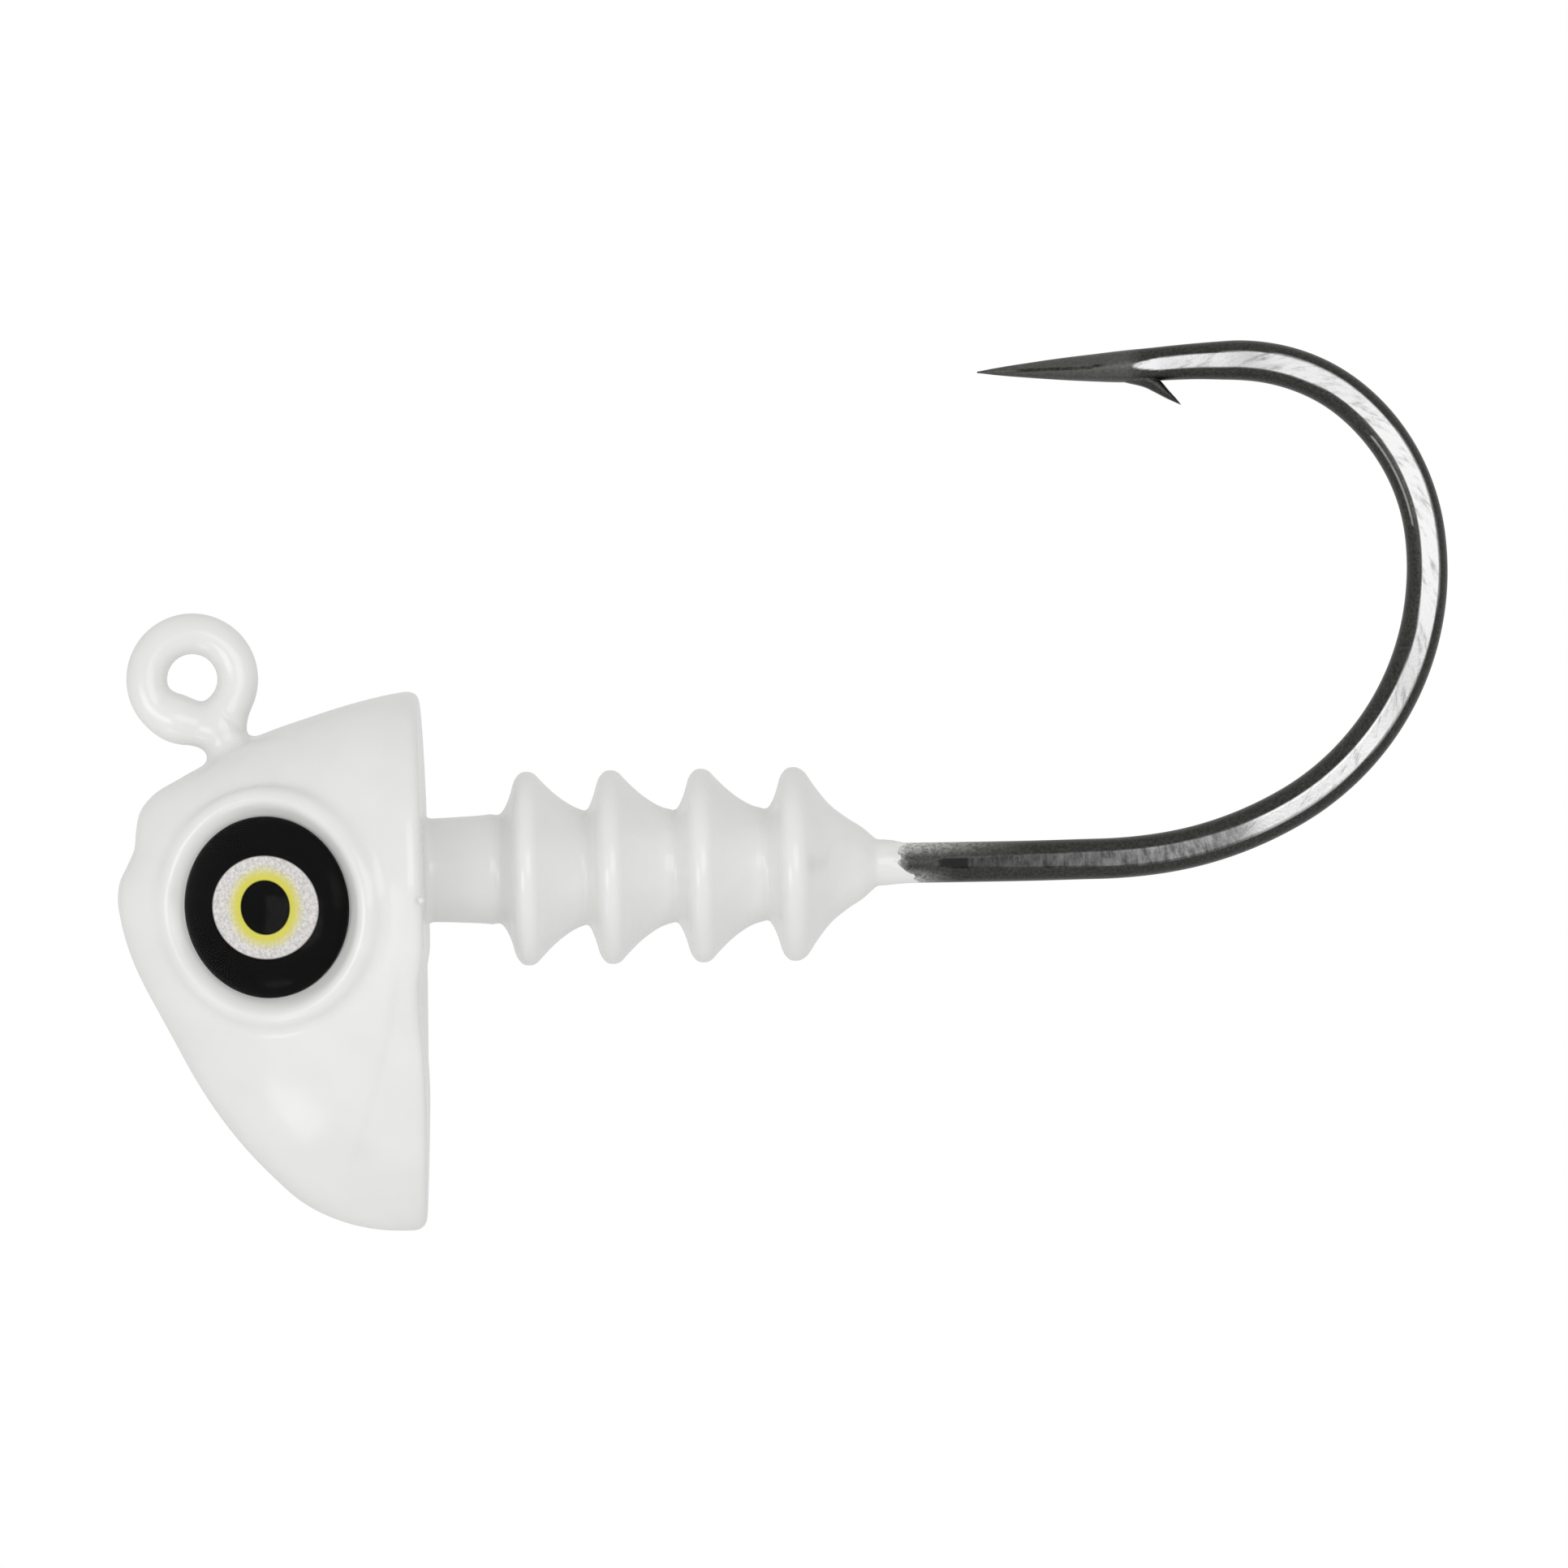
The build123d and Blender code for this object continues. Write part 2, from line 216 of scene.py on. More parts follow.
def skin(rings, around):
    """Faces over a stack of rings of points, closed with one flat face at each end."""
    faces = []
    for ring in range(rings - 1):
        for step in range(around):
            following = (step + 1) % around
            faces.append((ring * around + step, ring * around + following,
                          (ring + 1) * around + following, (ring + 1) * around + step))
    last = (rings - 1) * around
    faces.append(tuple(range(around - 1, -1, -1)))
    faces.append(tuple(range(last, last + around)))
    return faces


AROUND = 72
rings, ring_values = hook_rings(AROUND)
hook = mesh_piece("forged_hook", rings, skin(len(rings), AROUND), ring_values)

# lower edge, upper edge and half width of the barb at each station from its root to its tip
BARB = (((35.6, 11.05), (35.6, 11.40), 0.20), ((36.3, 10.84), (36.35, 11.35), 0.34),
        ((36.96, 10.67), (37.05, 11.25), 0.40), ((37.4, 10.46), (37.56, 10.99), 0.38),
        ((37.86, 10.21), (38.0, 10.49), 0.28), ((38.18, 10.06), (38.26, 10.19), 0.16),
        ((38.42, 9.95), (38.43, 9.965), 0.02))
BARB_AROUND = 28
BARB_STEPS = 50


def barb_rings(around, steps):
    """Cross-sections of the blade of the barb, a flattened oval at each station."""
    stations = np.arange(len(BARB))
    low = np.array([station[0] for station in BARB])
    high = np.array([station[1] for station in BARB])
    half = np.array([station[2] for station in BARB])
    fine = np.linspace(0, len(BARB) - 1, steps)
    curve = {}
    rows = {"low_x": low[:, 0], "low_z": low[:, 1], "high_x": high[:, 0], "high_z": high[:, 1],
            "half": half}
    for key, row in rows.items():
        curve[key] = through(list(zip(stations, row)))(fine)[:, None]
    angle = np.arange(around) * 2 * pi / around
    share = 0.5 - 0.5 * np.cos(angle)
    width = np.abs(np.sin(angle)) ** 0.8 * np.sign(np.sin(angle))
    x = curve["low_x"] + (curve["high_x"] - curve["low_x"]) * share
    z = curve["low_z"] + (curve["high_z"] - curve["low_z"]) * share
    y = np.maximum(curve["half"], 0.01) * width
    return np.stack([x, y, z], axis=2)


blade = barb_rings(BARB_AROUND, BARB_STEPS)
barb = mesh_piece("barb_blade", blade, skin(len(blade), BARB_AROUND))
weld = hook.modifiers.new("barb", "BOOLEAN")
weld.operation = "UNION"
weld.solver = "EXACT"
weld.object = barb
bpy.context.view_layer.update()
welded = bpy.data.meshes.new_from_object(hook.evaluated_get(bpy.context.evaluated_depsgraph_get()))
hook.modifiers.clear()
hook.data = welded
bpy.data.objects.remove(barb)

# the union leaves the barb's points without values of their own, so they get theirs from their place
BARB_X = (35.0, 39.0)
BARB_Z = (9.0, 11.6)
POINT_AXIS_Z = 11.5
spots = np.empty(3 * len(welded.vertices))
welded.vertices.foreach_get("co", spots)
spot_x, _, spot_z = spots.reshape(-1, 3).T / MM
on_barb = (spot_x > BARB_X[0]) & (spot_x < BARB_X[1]) & (spot_z > BARB_Z[0]) & (spot_z < BARB_Z[1])
for key, worked_out in (("from_tip", spot_x - wire_x[-1]), ("inward", POINT_AXIS_Z - spot_z)):
    layer = welded.attributes[key]
    held = np.empty(len(spot_x))
    layer.data.foreach_get("value", held)
    layer.data.foreach_set("value", np.where(on_barb, worked_out, held))


class Signal:
    """A shader socket used like a number: each operator adds the Math node that works it out."""

    def __init__(self, finish, socket):
        self.finish = finish
        self.socket = socket

    def math(self, operation, *others):
        return self.finish.node("ShaderNodeMath", {"operation": operation}, [self, *others])

    def __add__(self, other):
        return self.math("ADD", other)

    __radd__ = __add__

    def __sub__(self, other):
        return self.math("SUBTRACT", other)

    def __rsub__(self, other):
        return self.finish.node("ShaderNodeMath", {"operation": "SUBTRACT"}, [other, self])

    def __mul__(self, other):
        return self.math("MULTIPLY", other)

    __rmul__ = __mul__

    def __truediv__(self, other):
        return self.math("DIVIDE", other)

    def __pow__(self, other):
        return self.math("POWER", other)

    def clamped(self):
        return self.finish.node("ShaderNodeClamp", {}, {"Value": self})

    def step(self, low, high):
        """0 below low and 1 above high, with a smooth rise between."""
        settings = {"interpolation_type": "SMOOTHSTEP"}
        inputs = {"Value": self, "From Min": low, "From Max": high}
        return self.finish.node("ShaderNodeMapRange", settings, inputs)


class Finish:
    """A material built node by node round one Principled surface."""

    def __init__(self, name, **surface):
        self.material = bpy.data.materials.new(name)
        self.material.use_nodes = True
        self.tree = self.material.node_tree
        self.surface = self.tree.nodes["Principled BSDF"]
        self.feed(self.surface, surface)

    def feed(self, node, inputs):
        """Links signals to a node's inputs and sets the others directly."""
        pairs = inputs.items() if isinstance(inputs, dict) else enumerate(inputs)
        for key, value in pairs:
            if isinstance(value, Signal):
                self.tree.links.new(value.socket, node.inputs[key])
            else:
                node.inputs[key].default_value = value

    def node(self, kind, settings=(), inputs=(), output=0):
        """Adds one node and returns the signal from one of its outputs."""
        node = self.tree.nodes.new(kind)
        for key, value in dict(settings).items():
            if key == "stops":
                self.lay_stops(node.color_ramp, value)
            else:
                setattr(node, key, value)
        self.feed(node, inputs or {})
        return Signal(self, node.outputs[output])

    def lay_stops(self, ramp, stops):
        while len(ramp.elements) < len(stops):
            ramp.elements.new(0.5)
        for element, (position, colour) in zip(ramp.elements, stops):
            element.position = position
            element.color = colour

    def place(self):
        """Position on the object, in millimetres."""
        metres = self.node("ShaderNodeTexCoord", output="Object")
        inputs = {"Vector": metres, "Scale": 1 / MM}
        return self.node("ShaderNodeVectorMath", {"operation": "SCALE"}, inputs)

    def noise(self, where, scale, detail=3.0, roughness=0.55):
        inputs = {"Vector": where, "Scale": scale, "Detail": detail, "Roughness": roughness}
        return self.node("ShaderNodeTexNoise", {}, inputs)

    def stretched(self, where, factors):
        return self.node("ShaderNodeVectorMath", {"operation": "MULTIPLY"}, {0: where, 1: factors})

    def attribute(self, name):
        return self.node("ShaderNodeAttribute", {"attribute_name": name}, output="Fac")

    def mix(self, share, first, second, blend="MIX"):
        """Two colours mixed; a colour mix has its own inputs 0, 6 and 7 and its own output 2."""
        settings = {"data_type": "RGBA", "blend_type": blend}
        return self.node("ShaderNodeMix", settings, {0: share, 6: first, 7: second}, 2)

    def bump(self, height, strength, depth):
        """Relief from a height signal; depth is in millimetres."""
        inputs = {"Height": height, "Strength": strength, "Distance": depth * MM}
        self.feed(self.surface, {"Normal": self.node("ShaderNodeBump", {}, inputs)})


def grey(level, tint=(1, 1, 1)):
    """A grey of this level, as a colour with its alpha."""
    return (level * tint[0], level * tint[1], level * tint[2], 1)


# brightness painted onto the forged flats as a reflection of the lights, by distance from the tip,
# and the length that its ramp covers
FLAT_PAINTED_REFLECTION = ((6.5, 0.44), (9.6, 0.44), (10.4, 0.29), (12, 0.40), (16, 0.43), (24.5, 0.43), (27, 0.42),
              (29.5, 0.57), (34.6, 0.54), (35.6, 0.20), (41, 0.085), (45, 0.040))
WIRE_LENGTH = 90.0
# where stretches of the wire start or end, by distance from the tip, each as a soft edge
SPEAR_END = (5.6, 6.6)
RIDGE_SHADE_START = (1.2, 1.8)
RIDGE_SHADE_END = (4.6, 5.2)
BEND_END = (34.5, 37)
DARK_BAND_START = (46.1, 46.25)
DARK_BAND_END = (47.2, 47.35)
ALL_PAINT = (48.4, 49.3)
# where the haze of stray paint starts on the shank's upper and lower side, and how long it takes
HAZE_ABOVE = (43, 5.4)
HAZE_BELOW = (46.4, 2.2)


def black_nickel():
    """Dark glossy plating with a painted reflection of the lights on the forged flats, hazed with paint
    where the coat ends.
    """
    steel = Finish("black_nickel", Metallic=1.0)
    where = steel.place()
    flat, along, inward = (steel.attribute(name) for name in ("flatness", "from_tip", "inward"))
    on_wire = steel.node("ShaderNodeCombineXYZ", {}, {"X": along, "Y": inward})
    slant = {"X": along * 1.6 + inward * 3.0, "Y": inward * 1.2 - along * 0.2}
    slanted = steel.node("ShaderNodeCombineXYZ", {}, slant)
    grain = steel.noise(where, 9.0, 5.0, 0.65)
    bars = steel.noise(steel.stretched(on_wire, (3.6, 1.3, 1.0)), 1.0, 4.0, 0.75)
    strokes = steel.noise(slanted, 1.1, 5.0, 0.7)
    edge = (strokes - 0.5) * 2.4
    # painted reflection: the flats are coloured bright where the lights would show in them
    stops = [(place / WIRE_LENGTH, grey(level)) for place, level in FLAT_PAINTED_REFLECTION]
    shine = steel.node("ShaderNodeValToRGB", {"stops": stops}, {"Fac": (along + edge) / WIRE_LENGTH})
    scuffed = steel.mix(strokes.step(0.30, 0.52), grey(0.55), grey(1.0))
    barred = steel.mix(bars.step(0.30, 0.70), grey(0.45), grey(1.45))
    texture = steel.mix(along.step(*BEND_END), scuffed, barred)
    bright = steel.mix(1.0, shine, texture, "MULTIPLY")
    spear = 1 - along.step(*SPEAR_END)
    # painted shade: a dark line drawn along the ridge of the ground point
    on_ridge = 1 - (inward * inward).step(0.0009, 0.006)
    ridge_painted_shade = on_ridge * (1 - along.step(*RIDGE_SHADE_END)) * along.step(*RIDGE_SHADE_START)
    level = 0.036 + 0.045 * grain.step(0.3, 0.75) + 0.055 * spear - 0.07 * ridge_painted_shade
    dark = steel.node("ShaderNodeCombineColor", {}, {"Red": level, "Green": level, "Blue": level * 0.94})
    plated = steel.mix(flat, dark, bright)
    # a short stretch of the flats just beyond the paint is made near black
    dark_band = flat * along.step(*DARK_BAND_START) * (1 - along.step(*DARK_BAND_END))
    banded = steel.mix(dark_band, plated, grey(0.014))
    above = ((along - HAZE_ABOVE[0]) / HAZE_ABOVE[1]).clamped() ** 2 * inward.step(0.1, 0.9)
    below = ((along - HAZE_BELOW[0]) / HAZE_BELOW[1]).clamped() ** 2 * (0 - inward).step(0.1, 0.8)
    dust = steel.noise(where, 7.0, 4.0, 0.8)
    dots = ((above + below + along.step(*ALL_PAINT)) * (0.45 + 1.1 * dust.step(0.35, 0.65))).clamped()
    colour = steel.mix(dots, banded, grey(0.66, (1, 1, 0.98)))
    steel.feed(steel.surface, {
        "Base Color": colour,
        "Metallic": 1 - 0.9 * dots,
        "Roughness": 0.34 - 0.12 * flat + 0.06 * (grain - 0.5) + 0.2 * dots,
    })
    steel.bump(grain + 0.8 * dots, 0.25, 0.012)
    return steel.material


hook.data.materials.append(black_nickel())
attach(hook, "root")
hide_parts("hook")

# ---------------------------------------------------------------------------------------------
# Lead casting. Head, neck, four keeper rings and tail cone, poured in one shot of antimonial lead
# in a two-part mould round the hook's leg. It is under the paint everywhere.

BACK_X = mounts["bait_stop"][0]
# side view of the head, from behind the throat round the chin, nose and brow; its last points lie
# behind the flat back, which cuts them off
HEAD_CENTRE = (4.0, -9.0)
HEAD_OUTLINE = (
    (16.0, -8.9), (15.5, -14.5), (13.0, -19.2), (10.0, -21.3), (8.0, -21.47), (6.8, -21.40), (5.33, -21.03),
    (3.96, -20.33), (2.77, -19.27), (1.01, -17.24), (-0.14, -15.46), (-0.93, -13.97), (-1.57, -12.75),
    (-2.14, -11.64), (-2.60, -10.51), (-2.91, -9.33), (-3.02, -8.50), (-2.93, -7.80), (-2.62, -7.15),
    (-2.34, -6.50), (-2.27, -5.85), (-2.10, -5.10), (-1.66, -4.53), (-0.54, -3.83), (0.60, -3.22),
    (1.97, -2.45), (3.07, -2.02), (4.66, -1.50), (6.70, -0.92), (8.20, -0.63), (10.2, -0.55),
    (13.0, -1.4), (15.3, -4.6), (16.0, -8.9),
)
# the head is widest at its back, at cheek height, and narrows to the nose, the crown and the keel;
# CHEEK_ROUNDING is the power of the curve from its side outline out to its full width
HEAD_LENGTH = 11.92
HALF_WIDTH = 6.4
CHEEK_Z = -8.0
NOSE_NARROWING = 3.9
CROWN_RISE = 7.5
CROWN_NARROWING = 0.12
KEEL_DROP = 13.5
KEEL_NARROWING = 0.55
CHEEK_ROUNDING = 2.6
# the back face has a rounded edge, and falls away by BACK_BULGE at BACK_REACH from its middle
BACK_ROUNDING = 0.6
BACK_BULGE = 0.16
BACK_MIDDLE_Z = -10.8
BACK_REACH = 10
# the gill line runs down from this point, leaning and bowing forward
GILL_TOP_X = 7.75
GILL_TOP_Z = -11.0
GILL_LEAN = 0.137
GILL_BOW = 0.0158
GILL_DEPTH = 0.24
# the neck and the foot of each keeper ring, and (distance from the foot, radius) round a ring
NECK_START_X = 6.5
NECK_R = 2.0
KEEPER_FEET = (12.85, 16.10, 19.60, 23.15)
RING_PROFILE = ((-0.95, 2.22), (-0.66, 2.80), (-0.49, 3.36), (-0.30, 3.64), (0.0, 3.75), (0.30, 3.66),
                (0.56, 3.39), (0.97, 2.98), (1.49, 2.57), (1.95, 2.31), (2.24, 2.22))
TAIL_PROFILE = ((0.45, 3.56), (0.81, 3.04), (1.34, 2.36), (2.04, 1.78), (2.73, 1.32), (3.0, 1.08),
                (3.18, 0.93), (3.5, 0.89), (8.0, 0.89))
KEEPER_FILLET = 0.35
# how the eye's axis is turned forwards and down, the radius of its flat seat, and the raised rim
# round it: its radius, its thickness, how deep it is sunk, and the fillet to the cheek
EYE_YAW = radians(24.5)
EYE_DROP = radians(3)
SEAT_R = 3.56
RIM_R = 4.18
RIM_THICK_R = 0.44
RIM_SINK = 0.02
RIM_FILLET = 0.55
# the dish between seat and rim: how far it opens per millimetre of height, and its rounded corners
DISH_FLARE = 1.05
DISH_FOOT_R = 0.10
DISH_LIP_R = 0.16


def polar(x, z):
    """Angle about the head's centre, from the nose up, and distance from it."""
    dx, dz = x - HEAD_CENTRE[0], z - HEAD_CENTRE[1]
    return np.arctan2(dz, -dx), np.sqrt(dx * dx + dz * dz)


outline_angle, outline_radius = polar(*np.array(HEAD_OUTLINE).T)
outline_angle[0] = -pi
head_radius = through(list(zip(outline_angle, outline_radius)))


def keeper_profile():
    """Radius of the neck, the rings and the tail cone, as a function of x."""
    points = [(NECK_START_X, NECK_R), (BACK_X, NECK_R), (10.3, 2.05), (11.4, 2.13)]
    for number, foot in enumerate(KEEPER_FEET):
        shape = RING_PROFILE
        if number == len(KEEPER_FEET) - 1:
            shape = RING_PROFILE[:5] + TAIL_PROFILE
        points += [(foot + x, r) for x, r in shape]
    return through(points)


keeper_radius = keeper_profile()


def blend_in(first, second, reach):
    """Union of two distances with a fillet between them."""
    share = np.clip(0.5 + 0.5 * (second - first) / reach, 0, 1)
    return second + (first - second) * share - reach * share * (1 - share)


def cut_away(body, tool, reach):
    """What is left of a body inside the tool's surface, with a rounded edge."""
    return -blend_in(-body, tool, reach)


def near_line(x, z, start, end):
    """Distance in the side view from a straight mark."""
    run = np.array(end) - start
    share = np.clip(((x - start[0]) * run[0] + (z - start[1]) * run[1]) / (run @ run), 0, 1)
    return np.hypot(x - start[0] - share * run[0], z - start[1] - share * run[1])


film_low, film_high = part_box("eye_film_left")
EYE_NORMAL = np.array((-sin(EYE_YAW) * cos(EYE_DROP), -cos(EYE_YAW) * cos(EYE_DROP), -sin(EYE_DROP)))
FILM_MIDDLE = 0.16
eye_seat = np.array((film_low + film_high) / 2) / MM - EYE_NORMAL * FILM_MIDDLE


def rise(value, low, high):
    """0 below low and 1 above high, with a smooth rise between."""
    share = np.clip((value - low) / (high - low), 0, 1)
    return share * share * (3 - 2 * share)


def gill_step(x, z):
    """The edge of the gill plate: a drop behind a bowed line, gone again by the back of the head."""
    below = GILL_TOP_Z - z
    behind = x - (GILL_TOP_X - GILL_LEAN * below - GILL_BOW * below ** 2)
    profile = rise(behind, -0.1, 0.45) * (1 - rise(behind, 0.9, 2.4))
    return profile * rise(below, -0.6, 1.2) * (1 - rise(below, 7.4, 9.0))


def head_distance(x, y, z):
    """About the distance to the head without its eyes and neck, negative inside."""
    angle, reach = polar(x, z)
    forward = np.clip((BACK_X - x) / HEAD_LENGTH, 0, 1.05)
    plan = HALF_WIDTH - NOSE_NARROWING * forward ** 1.25
    above = np.clip(z - CHEEK_Z, 0, None) / CROWN_RISE
    below = np.clip(CHEEK_Z - z, 0, None) / KEEL_DROP
    half = plan * (1 - CROWN_NARROWING * above ** 2 - KEEL_NARROWING * below ** 1.3)
    across = np.abs(y) / np.maximum(half, 0.5)
    share = reach / head_radius(angle)
    norm = (share ** CHEEK_ROUNDING + across ** CHEEK_ROUNDING) ** (1 / CHEEK_ROUNDING)
    span = np.sqrt(reach * reach + y * y)
    body = span - span / np.maximum(norm, 1e-4)
    back = BACK_X - BACK_BULGE * ((z - BACK_MIDDLE_Z) / BACK_REACH) ** 2
    body = cut_away(body, back - x, BACK_ROUNDING)
    return body + GILL_DEPTH * gill_step(x, z) * rise(np.abs(y), 0.5, 2.6)


def eye_coordinates(x, y, z):
    """Distance from the nearer eye's axis, and height over its seat."""
    rel_x, rel_y, rel_z = x - eye_seat[0], -np.abs(y) - eye_seat[1], z - eye_seat[2]
    height = rel_x * EYE_NORMAL[0] + rel_y * EYE_NORMAL[1] + rel_z * EYE_NORMAL[2]
    square = rel_x ** 2 + rel_y ** 2 + rel_z ** 2 - height ** 2
    return np.sqrt(np.maximum(square, 0)), height


def keeper_distance(x, y, z):
    """Distance to the turned neck, rings and tail cone."""
    out = np.hypot(y, z - SHANK_Z)
    radius = keeper_radius(x)
    nudge = 0.02
    slope = (keeper_radius(x + nudge) - keeper_radius(x - nudge)) / (2 * nudge)
    return np.maximum((out - radius) / np.sqrt(1 + slope * slope), NECK_START_X - x)


def painted_lead(x, y, z):
    """Signed distance to the painted surface of the casting, negative inside."""
    body = head_distance(x, y, z)
    off_axis, height = eye_coordinates(x, y, z)
    rim = np.hypot(off_axis - RIM_R, height + RIM_SINK) - RIM_THICK_R
    body = blend_in(body, rim, RIM_FILLET)
    ramp = (off_axis - SEAT_R - DISH_FLARE * height) / sqrt(1 + DISH_FLARE ** 2)
    dish = -blend_in(-ramp, height, DISH_FOOT_R)
    body = cut_away(body, dish, DISH_LIP_R)
    return blend_in(body, keeper_distance(x, y, z), KEEPER_FILLET)


def surface(shape, low, high, pitch):
    """Mesh of the surface where shape is zero: one point in each crossed cell, drawn onto the surface."""
    axes = [np.arange(a, b + pitch, pitch) for a, b in zip(low, high)]
    grid = np.meshgrid(*axes, indexing="ij", sparse=True)
    value = shape(*grid)
    inside = value < 0
    size = np.array(value.shape) - 1
    total = np.zeros((*size, 3))
    count = np.zeros(size)
    corners = [(i, j, k) for i in (0, 1) for j in (0, 1) for k in (0, 1)]
    for first in corners:
        for axis in range(3):
            if first[axis]:
                continue
            second = tuple(c + (a == axis) for a, c in enumerate(first))
            here = tuple(slice(c, c + n) for c, n in zip(first, size))
            there = tuple(slice(c, c + n) for c, n in zip(second, size))
            crossed = inside[here] != inside[there]
            share = value[here][crossed] / (value[here][crossed] - value[there][crossed])
            for a in range(3):
                total[..., a][crossed] += first[a] + (share if a == axis else 0)
            count[crossed] += 1
    used = count > 0
    number = -np.ones(size, int)
    number[used] = np.arange(used.sum())
    cells = np.argwhere(used)
    points = np.array(low) + pitch * (cells + total[used] / count[used][:, None])
    quads = []
    for axis in range(3):
        a, b = (axis + 1) % 3, (axis + 2) % 3
        near = [slice(1, -1)] * 3
        near[axis] = slice(0, -1)
        far = list(near)
        far[axis] = slice(1, None)
        first, second = inside[tuple(near)], inside[tuple(far)]
        for flip in (False, True):
            edge = np.argwhere((first & ~second) if not flip else (~first & second))
            edge += [0 if i == axis else 1 for i in range(3)]
            step_a, step_b = np.eye(3, dtype=int)[a], np.eye(3, dtype=int)[b]
            ring = [edge - step_a - step_b, edge - step_b, edge, edge - step_a]
            if flip:
                ring.reverse()
            quads.append(np.stack([number[tuple(cell.T)] for cell in ring], axis=1))
    quads = np.concatenate(quads)
    for _ in range(3):
        points = draw_onto(shape, evened_out(points, quads), pitch)
    return points, quads


def evened_out(points, quads):
    """Moves each point to the middle of its neighbours."""
    near = np.concatenate([quads[:, corner] for corner in (0, 1, 2, 3, 1, 2, 3, 0)])
    far = np.concatenate([quads[:, corner] for corner in (1, 2, 3, 0, 0, 1, 2, 3)])
    count = np.bincount(near, minlength=len(points))
    total = [np.bincount(near, points[far, axis], len(points)) for axis in range(3)]
    return np.stack(total, axis=1) / count[:, None]


def draw_onto(shape, points, pitch):
    """Moves each point along the shape's slope until it lies on the surface."""
    nudge = 0.01
    gentlest = 0.05
    for _ in range(2):
        value = shape(*points.T)
        slope = np.stack([(shape(*(points + offset).T) - shape(*(points - offset).T)) / (2 * nudge)
                          for offset in np.eye(3) * nudge], axis=1)
        steep = np.maximum((slope ** 2).sum(1), gentlest)
        move = slope * (value / steep)[:, None]
        points = points - np.clip(move, -pitch / 2, pitch / 2)
    return points


COAT = 0.12
LEAD_END_X = 26.2
LEAD_PITCH = 0.26
LEAD_SPACE = ((-3.4, -6.8, -21.8), (26.8, 6.8, 0))


def bare_lead(x, y, z):
    """Signed distance to the metal under the paint."""
    return np.maximum(painted_lead(x, y, z) + COAT, x - LEAD_END_X)


casting = mesh_piece("lead_casting", *surface(bare_lead, *LEAD_SPACE, LEAD_PITCH))


def cast_lead():
    """Dull grey metal with the cloudy marks of a cool mould."""
    lead = Finish("cast_lead", Metallic=0.9)
    where = lead.place()
    chill = lead.noise(where, 0.8, 5.0)
    dark, pale = grey(0.20, (0.95, 0.98, 1.05)), grey(0.34, (0.96, 0.98, 1.02))
    lead.feed(lead.surface, {
        "Base Color": lead.mix(chill.step(0.3, 0.7), dark, pale),
        "Roughness": 0.45 + 0.2 * chill,
    })
    lead.bump(chill, 0.4, 0.05)
    return lead.material


casting.data.materials.append(cast_lead())
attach(casting, "root")
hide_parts("head_casting")

# ---------------------------------------------------------------------------------------------
# Powder coat. The warm casting is dipped in white powder and baked, so one glossy skin runs over
# the lead, up over the line eye and a little way along the shank, and pools where parts meet.

EYE_COAT_R = 0.79
LEG_COAT_R = 0.80
LEG_SPAN = (2.35, 6.5)
# the drop of paint that fills the ring's lowest part
POOL_ANGLE = radians(-112)
POOL_REACH = 1.48
POOL_R = 0.74
POOL_FILLET = 0.6
# the paint that runs down behind the ring, between its cut end and the leg
HEEL = ((1.32, -1.35), (1.30, -2.4))
HEEL_R = 0.66
HEEL_FILLET = 0.40
# the groove that shows where the ring's cut end meets the leg
LAP_ANGLE = LEG_ANGLE + TAG_GAP * 0.9
LAP_DEPTH = 0.07
LAP_WIDTH = 0.10
# the fillet where the painted leg goes into the head
FOOT_FILLET = 0.5
# a crumb of lead left at the parting line, under the paint
NIB = (BACK_X - 0.05, -6.28, -8.65)
NIB_R = 0.15
# where the paint thins out on the shank, over what length and by how much, and where it has gone
SLEEVE_END = 27.3
SLEEVE_FADE = 0.8
SLEEVE_THINNING = 0.18
SLEEVE_CUT = 28.9
COAT_PITCH = 0.13
COAT_SPACE = ((-3.5, -6.8, -21.9), (29.2, 6.8, 2.9))


def line_eye_distance(x, y, z):
    """Distance to the painted line eye and its leg."""
    ring = np.hypot(np.hypot(x - EYE_X, z - EYE_Z) - RING_R, y) - EYE_COAT_R
    top, foot = ((reach * cos(LEG_ANGLE), reach * sin(LEG_ANGLE)) for reach in LEG_SPAN)
    leg = np.hypot(near_line(x, z, top, foot), y) - LEG_COAT_R
    pool_x, pool_z = POOL_REACH * cos(POOL_ANGLE), POOL_REACH * sin(POOL_ANGLE)
    pool = np.sqrt((x - pool_x) ** 2 + y * y + (z - pool_z) ** 2) - POOL_R
    heel = np.hypot(near_line(x, z, *HEEL), y) - HEEL_R
    eye = blend_in(blend_in(ring, pool, POOL_FILLET), leg, POOL_FILLET)
    eye = blend_in(eye, heel, HEEL_FILLET)
    lap = np.abs((x - EYE_X) * -sin(LAP_ANGLE) + (z - EYE_Z) * cos(LAP_ANGLE))
    outer = np.clip((np.hypot(x, z) - 1.5) / 0.5, 0, 1)
    near_tag = (x * cos(LAP_ANGLE) + z * sin(LAP_ANGLE)) > 0
    return eye + LAP_DEPTH * np.exp(-(lap / LAP_WIDTH) ** 2) * outer * near_tag


def ragged_end(turn):
    """How much further the paint runs along the shank at each turn round it, from underneath."""
    broad = 0.55 * np.cos(turn) + 0.35 * np.cos(2 * turn)
    return broad + 0.12 * np.sin(7 * turn + 2) + 0.07 * np.sin(13 * turn)


